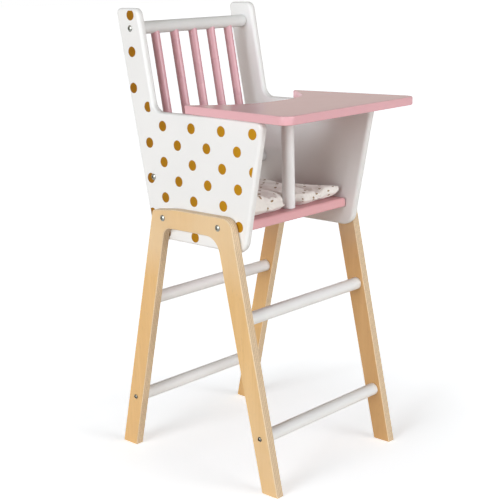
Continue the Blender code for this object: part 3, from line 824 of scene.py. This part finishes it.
nickel = screw_finish("nickel_plate", NICKEL_DARK, NICKEL_BRIGHT)
nickel_in_painted_shade = screw_finish("nickel_plate_in_painted_shade", PAINTED_SHADE_PLATE_DARK, PAINTED_SHADE_PLATE_BRIGHT)
master_head = screw_head()
screws = [node for node in sorted(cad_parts) if "screw" in node or "bolt" in node]
for count, node in enumerate(screws, 1):
    in_stretcher = node.startswith("stretcher")
    crown, facing, length = screw_place(node)
    screw = bpy.data.objects.new(node + "_head", master_head.data.copy())
    scene.collection.objects.link(screw)
    if in_stretcher:
        for corner in screw.data.vertices:
            corner.co.x *= SMALL_HEAD
            corner.co.y *= SMALL_HEAD
    select(screw_shank(length), screw)
    bpy.ops.object.join()
    spin = Matrix.Rotation(HEAD_TURN * count, 4, "Z")
    aimed = facing.to_track_quat("Z", "Y").to_matrix().to_4x4()
    screw.matrix_world = Matrix.Translation(crown - facing * HEAD_HEIGHT) @ aimed @ spin
    bpy.ops.object.transform_apply(location=True, rotation=True, scale=True)
    smooth_over(screw, angle=32)
    finish(screw, nickel_in_painted_shade if in_stretcher else nickel, node)
bpy.data.objects.remove(master_head)


# The cushion: a stuffed cotton pad with a deep slot at the front for the post, loose on the seat.
# Two cloths are sewn together all round at half height, blown up here by a cloth simulation, with
# a tuck in each lobe's front. The white cloth is printed with rows of small gold spots.
COTTON_LIGHT = (0.89, 0.865, 0.83, 1)
COTTON_DEEP = (0.83, 0.80, 0.76, 1)
COTTON_TOP_PAINTED_LIGHT = (0.95, 0.92, 0.87, 1)
COTTON_ROUGHNESS = 0.88
COTTON_SHEEN = 0.35
WEAVE_RATE = 9000
WEAVE_DEPTH = 0.00015
SPOT_GOLD = (0.30, 0.19, 0.085, 1)
SPOT_START = (0.0206, 0.0130)
SPOT_TURN = radians(-51.2)
SPOT_STEPS = (0.0182, 0.0135)
SPOT_RADIUS = 0.0021
SPOT_SOFT = 0.0006
SPOT_RAGGED = 0.0003
# The cushion's front and underside, its half height, the height at which its print is laid, and the
# room that the panels leave it, to the micrometre. The seam is drawn a little over half height, and
# lower at +X. Near and far are as the camera stands: the near lobe is at -X and the far one at +X.
PAD_FRONT, PAD_BASE = (round(place, 6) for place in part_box("seat_cushion")[0].yz)
PAD_SEAM = PAD_BASE + 0.0092
PAD_CREST = PAD_BASE + 0.0177
PAD_SIDE = round(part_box("side_panel_left")[0].x - 0.0012, 6)
SEAM_RISE = 0.0030
SEAM_LEAN = -0.020
TUCK_AT = 0.044
# The bag before it is blown up, as shares of the cushion's width, depth and height.
BAG_WIDTH = 0.978
BAG_DEPTH = 0.970
BAG_HEIGHT = 0.92
BAG_FRONT_IN = 0.0042
# How far behind the front edge the cloth starts, against how far behind it the finished cushion has
# it: under the seam and over it, with a soft change between them at the seam.
RUN_UNDER = ((0, 0.018, 0.060, 0.2), (0, 0.0165, 0.060, 0.2))
RUN_OVER = ((0, 0.010, 0.030, 0.060, 0.2), (0, 0.0030, 0.0085, 0.060, 0.2))
RUN_CHANGE = (0.004, -0.004)
# The lobes' inner corners, of the near and of the far lobe: where they start to round off, how much
# of their height they lose, and how far they give way to the side, the more so towards the front.
LOBE_INNER = (0.040, 0.034)
LOBE_SINK = (0.60, 0.30)
LOBE_ROUND = 0.021
LOBE_OUT = 0.0045
LOBE_FRONT = (-0.045, -0.063)
SLOT_SIDE = 0.012
# Hollows in the top towards the far side: how deep, and where and how wide by x and by y.
FAR_HOLLOWS = ((0.0090, 0.082, 0.040, 0.030, 0.050), (0.0032, 0.080, 0.035, -0.040, 0.022))
# The roll along the front of the near lobe's top: its height by x, and where and how wide it is by y.
ROLL_HEIGHT = ((-0.056, -0.045, -0.037, -0.028), (0.0090, 0.0075, 0.0050, 0))
ROLL_PLACE = (-0.0585, 0.0105)
ROLL_FOOT = 0.006
# The far lobe's outer corner is pushed out: how far, and over which stretches of x and of y.
CORNER_OUT = 0.0035
CORNER_X = (0.060, 0.090)
CORNER_Y = (-0.030, -0.060)
# The thread of a tuck holds this much of a lobe's front: how far back, how far under the seam, how wide.
TUCK_BACK = 0.030
TUCK_UNDER = 0.004
TUCK_HALF = 0.0016
# The cloth simulation, and the most that any point of the cloth may travel in it.
BAG_VOXEL = 0.003
BAG_PRESSURE = 4.0
BAG_FRAMES = 20
BAG_SLACK = -0.06
BAG_TRAVEL = 0.005
# The sewing: the seam's groove, the gathers beside it, the tucks, and the soft waves of the top.
SEAM_GROOVE = 0.0011
SEAM_WIDTH = 0.0014
GATHER_HEIGHT = 0.00035
GATHER_REACH = 0.0055
GATHER_RATE = 1150
TUCK_GROOVE = 0.0026
TUCK_WIDTH = 0.0022
TUCK_FRONT = (-0.038, -0.054)
WAVE_HEIGHT = 0.00032
WAVE_RATE = 560
WAVE_FROM = (0.028, 0.058)
# No length that divides is taken as shorter than this.
LEAST = 0.000001


def cotton_spots(tree, place):
    """1 on the spots: rows on the flat cloth, turned from the square, with ragged edges."""
    centred = add_node(tree, "VectorMath", operation="SUBTRACT")
    feed(tree, add_node(tree, "UVMap", uv_map="cloth").outputs[0], centred.inputs[0])
    feed(tree, (*SPOT_START, 0), centred.inputs[1])
    turn = add_node(tree, "Mapping")
    turn.inputs["Rotation"].default_value = (0, 0, -SPOT_TURN)
    feed(tree, centred.outputs[0], turn.inputs["Vector"])
    along = add_node(tree, "SeparateXYZ")
    feed(tree, turn.outputs[0], along.inputs[0])
    squares = []
    for axis, step in zip("XY", SPOT_STEPS):
        steps = maths(tree, "DIVIDE", along.outputs[axis], step)
        rest = maths(tree, "MULTIPLY", maths(tree, "SUBTRACT", steps, maths(tree, "ROUND", steps)), step)
        squares.append(maths(tree, "MULTIPLY", rest, rest))
    away = maths(tree, "SQRT", maths(tree, "ADD", *squares))
    away = maths(tree, "ADD", away, mottled(tree, place, 700, 2, -SPOT_RAGGED, SPOT_RAGGED))
    return spread(tree, away, SPOT_RADIUS, SPOT_RADIUS - SPOT_SOFT)


def cotton_finish():
    """Plain-woven white cotton, whiter where it faces up as painted light, printed with small gold spots."""
    material, tree, shader = new_finish("printed_cotton", COTTON_ROUGHNESS)
    shader.inputs["Sheen Weight"].default_value = COTTON_SHEEN
    place, at, facing = surface(tree)
    white = mixed(tree, mottled(tree, place, 60, 4), COTTON_DEEP, COTTON_LIGHT)
    # Painted light: the cloth is drawn whiter where it faces up.
    white = mixed(tree, spread(tree, facing["Z"], 0.4, 0.9), white, COTTON_TOP_PAINTED_LIGHT)
    feed(tree, mixed(tree, cotton_spots(tree, place), white, SPOT_GOLD), shader.inputs["Base Color"])
    warp, weft = (maths(tree, "SINE", maths(tree, "MULTIPLY", at[axis], WEAVE_RATE)) for axis in "XY")
    weave = maths(tree, "MULTIPLY", maths(tree, "MULTIPLY", warp, weft), 0.4)
    slubs = noise(tree, place, 1100, 2)
    bumped(tree, shader, maths(tree, "ADD", weave, slubs), WEAVE_DEPTH, 0.5)
    return material


def points_of(piece):
    """A piece's points as rows of x, y and z."""
    flat = np.empty(len(piece.data.vertices) * 3)
    piece.data.vertices.foreach_get("co", flat)
    return flat.reshape(-1, 3)


def move_points(piece, points):
    piece.data.vertices.foreach_set("co", points.ravel())
    piece.data.update()


def normals_of(piece):
    return np.array([corner.normal for corner in piece.data.vertices])


def near(value, middle, width):
    """A soft hump of 1 at the middle that dies away over the width."""
    return np.exp(-((value - middle) / width) ** 2)


def ramp(value, start, end):
    """0 up to the start, 1 from the end on, and straight between them."""
    return np.clip((value - start) / (end - start), 0, 1)


def start_shape(points):
    """The bag before it is blown up: a little smaller, its front stood up straight like a roll."""
    x, y, z = points.T.copy()
    hand = np.sign(x) + (x == 0)
    reach = np.abs(x)
    height = z - PAD_SEAM
    run = y - PAD_FRONT
    under = np.interp(run, *RUN_UNDER)
    over = np.interp(run, *RUN_OVER)
    run = over + (under - over) * ramp(height, *RUN_CHANGE)
    y = PAD_FRONT + BAG_FRONT_IN + run * BAG_DEPTH

    forward = ramp(y, *LOBE_FRONT) ** 2
    round_from = np.where(x < 0, *LOBE_INNER)
    inner = ramp(reach, round_from, round_from - LOBE_ROUND) * (reach > SLOT_SIDE)
    x = x + hand * LOBE_OUT * forward * inner
    z = PAD_SEAM + height * (BAG_HEIGHT - np.where(x < 0, *LOBE_SINK) * inner * forward)
    for deep, at_x, wide, at_y, long in FAR_HOLLOWS:
        z = z - deep * near(x, at_x, wide) * near(y, at_y, long) * (height > 0)
    z = z + np.interp(x, *ROLL_HEIGHT) * near(y, *ROLL_PLACE) * ramp(height, 0, ROLL_FOOT)
    far_corner = ramp(x, *CORNER_X) * ramp(y, *CORNER_Y)
    return np.stack([x * BAG_WIDTH + CORNER_OUT * far_corner, y, z], axis=1)


def lay_print(piece):
    """Map the flat cloth on to the bag: straight down on top, and on down over the sides."""
    points = points_of(piece)
    drop = (PAD_CREST - points[:, 2])[:, None]
    flat = points[:, :2] + normals_of(piece)[:, :2] * drop
    corners = np.empty(len(piece.data.loops), dtype=np.int32)
    piece.data.loops.foreach_get("vertex_index", corners)
    piece.data.uv_layers.new(name="cloth").data.foreach_set("uv", flat[corners].ravel())


def in_tucks(points):
    """The points in the front of the two lobes that the tucks' thread holds back."""
    on_front = (points[:, 1] < PAD_FRONT + TUCK_BACK) & (points[:, 2] > PAD_SEAM - TUCK_UNDER)
    return on_front & (np.abs(np.abs(points[:, 0]) - TUCK_AT) < TUCK_HALF)


def blow_up(piece):
    """Blow the bag up by cloth simulation with its tucks held, no point going past its travel."""
    before = points_of(piece)
    group = piece.vertex_groups.new(name="held")
    for index in np.nonzero(in_tucks(before))[0]:
        group.add([int(index)], 1.0, "REPLACE")
    select(piece)
    bpy.ops.object.modifier_add(type="CLOTH")
    cloth = piece.modifiers[-1]
    cloth.settings.vertex_group_mass = "held"
    cloth.settings.use_pressure = True
    cloth.settings.uniform_pressure_force = BAG_PRESSURE
    cloth.settings.effector_weights.gravity = 0
    cloth.settings.shrink_min = BAG_SLACK
    for step in range(1, BAG_FRAMES + 1):
        scene.frame_set(step)
    bpy.ops.object.modifier_apply(modifier=cloth.name)
    moved = points_of(piece) - before
    length = np.linalg.norm(moved, axis=1, keepdims=True)
    share = BAG_TRAVEL * np.tanh(length / BAG_TRAVEL) / np.maximum(length, LEAST)
    move_points(piece, before + moved * share)


def sew(piece):
    """Draw the seam in all round, gather the cloth along it, and put in the tucks and the soft waves."""
    points = points_of(piece)
    facing = normals_of(piece)
    x, y, z = points.T
    level = facing[:, :2] / np.maximum(np.linalg.norm(facing[:, :2], axis=1, keepdims=True), LEAST)
    upright = 1 - np.abs(facing[:, 2])
    along = np.where(np.abs(level[:, 0]) > np.abs(level[:, 1]), y, x)
    seam = PAD_SEAM + SEAM_RISE + SEAM_LEAN * x
    depth = -SEAM_GROOVE * near(z, seam, SEAM_WIDTH) * upright
    gathers = np.sin(along * GATHER_RATE + 1.7 * np.sin(along * 240)) * near(z, seam + 0.002, GATHER_REACH)
    depth += GATHER_HEIGHT * gathers * np.sqrt(upright.clip(0))
    from_tuck = np.abs(np.abs(x) - TUCK_AT - 0.0015 * np.sin(z * 900))
    depth -= TUCK_GROOVE * near(from_tuck, 0, TUCK_WIDTH) * ramp(y, *TUCK_FRONT) * (z > PAD_SEAM - 0.002)
    waves = np.sin((x * 0.55 + y) * WAVE_RATE + 2.2 * np.sin(x * 95) + 1.3 * np.sin(y * 130))
    depth += WAVE_HEIGHT * waves * np.clip(facing[:, 2], 0, 1) * ramp(np.abs(x), *WAVE_FROM)
    points = points + facing * depth[:, None]
    points[:, 0] = points[:, 0].clip(-PAD_SIDE, PAD_SIDE)
    points[:, 2] = np.maximum(points[:, 2], PAD_BASE)
    move_points(piece, points)


cushion = merged_copy("seat_cushion", "cushion")
move_points(cushion, start_shape(points_of(cushion)))
select(cushion)
cushion.data.remesh_voxel_size = BAG_VOXEL
bpy.ops.object.voxel_remesh()
lay_print(cushion)
blow_up(cushion)
select(cushion)
bpy.ops.object.modifier_add(type="SUBSURF")
cushion.modifiers[-1].levels = 1
cushion.modifiers[-1].render_levels = 1
bpy.ops.object.modifier_apply(modifier=cushion.modifiers[-1].name)
sew(cushion)
smooth_over(cushion, angle=80)
finish(cushion, cotton_finish(), "seat_cushion", body="cushion")
